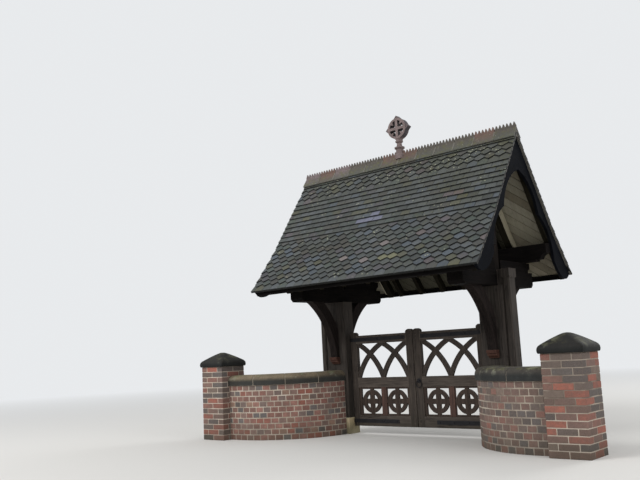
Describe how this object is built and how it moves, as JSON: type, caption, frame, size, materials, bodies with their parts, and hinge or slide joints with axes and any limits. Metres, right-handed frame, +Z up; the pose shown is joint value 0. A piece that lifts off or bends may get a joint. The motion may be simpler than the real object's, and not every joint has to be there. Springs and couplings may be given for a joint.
{
  "type": "lychgate",
  "caption": "Roofed timber churchyard gateway with a pair of swinging gates, curved brick wing walls and capped brick piers.",
  "frame": {"origin": "middle of the footprint, at the foot of the brick piers, where the object meets the lowest ground", "axes": "+X along the ridge, to the right as seen from the road; +Y from the road towards the churchyard; +Z up"},
  "size_m": [6.376, 2.92, 4.9038],
  "materials": {
    "pale_stone": "tooled limestone, weathered",
    "weathered_oak": "old stain worn to a grey brown",
    "dark_oak": "nearly black stained oak",
    "red_oak": "reddish brown stained oak",
    "pale_boards": "unpainted boarding",
    "clay_tile": "weathered clay plain tiles with moss",
    "ridge_clay": "weathered clay",
    "finial_stone": "weathered buff clay",
    "brickwork": "red and blue-grey bricks in lime mortar",
    "coping_stone": "dark rounded stone with moss",
    "black_iron": "black wrought iron, dull"
  },
  "bodies": {
    "structure": {"padstones": "pale_stone", "left_post": "weathered_oak", "right_post": "weathered_oak", "outer_posts": "weathered_oak", "left_beam": "dark_oak", "right_beam": "dark_oak", "left_braces": "dark_oak", "right_braces": "dark_oak", "corbels": "red_oak", "left_king_post": "dark_oak", "right_king_post": "dark_oak", "left_arms": "dark_oak", "right_arms": "dark_oak", "wall_plates": "dark_oak", "ridge_beam": "dark_oak", "front_rafters": "dark_oak", "back_rafters": "dark_oak", "front_boarding": "pale_boards", "back_boarding": "pale_boards", "front_tiles": "clay_tile", "back_tiles": "clay_tile", "ridge_tiles": "ridge_clay", "finial": "finial_stone", "left_bargeboards": "dark_oak", "right_bargeboards": "dark_oak", "fascias": "dark_oak", "left_wing_wall": "brickwork", "right_wing_wall": "brickwork", "left_coping": "coping_stone", "right_coping": "coping_stone", "left_pier": "brickwork", "right_pier": "brickwork", "pier_caps": "coping_stone", "hinge_hooks": "black_iron"},
    "left_leaf": {"left_leaf_stiles": "dark_oak", "left_leaf_rails": "weathered_oak", "left_leaf_arches": "weathered_oak", "left_leaf_wheels": "weathered_oak", "left_leaf_straps": "black_iron"},
    "right_leaf": {"right_leaf_stiles": "dark_oak", "right_leaf_rails": "weathered_oak", "right_leaf_arches": "weathered_oak", "right_leaf_wheels": "weathered_oak", "right_leaf_straps": "black_iron", "right_leaf_latch": "black_iron"}
  },
  "joints": [
    {"name": "left_gate_swing", "type": "hinge", "parent": "structure", "child": "left_leaf", "pos_m": [-1.184, 0.111, 0.9], "axis": [0, 0, 1], "range_deg": [0, 90]},
    {"name": "right_gate_swing", "type": "hinge", "parent": "structure", "child": "right_leaf", "pos_m": [1.184, 0.111, 0.9], "axis": [0, 0, -1], "range_deg": [0, 90]}
  ]
}
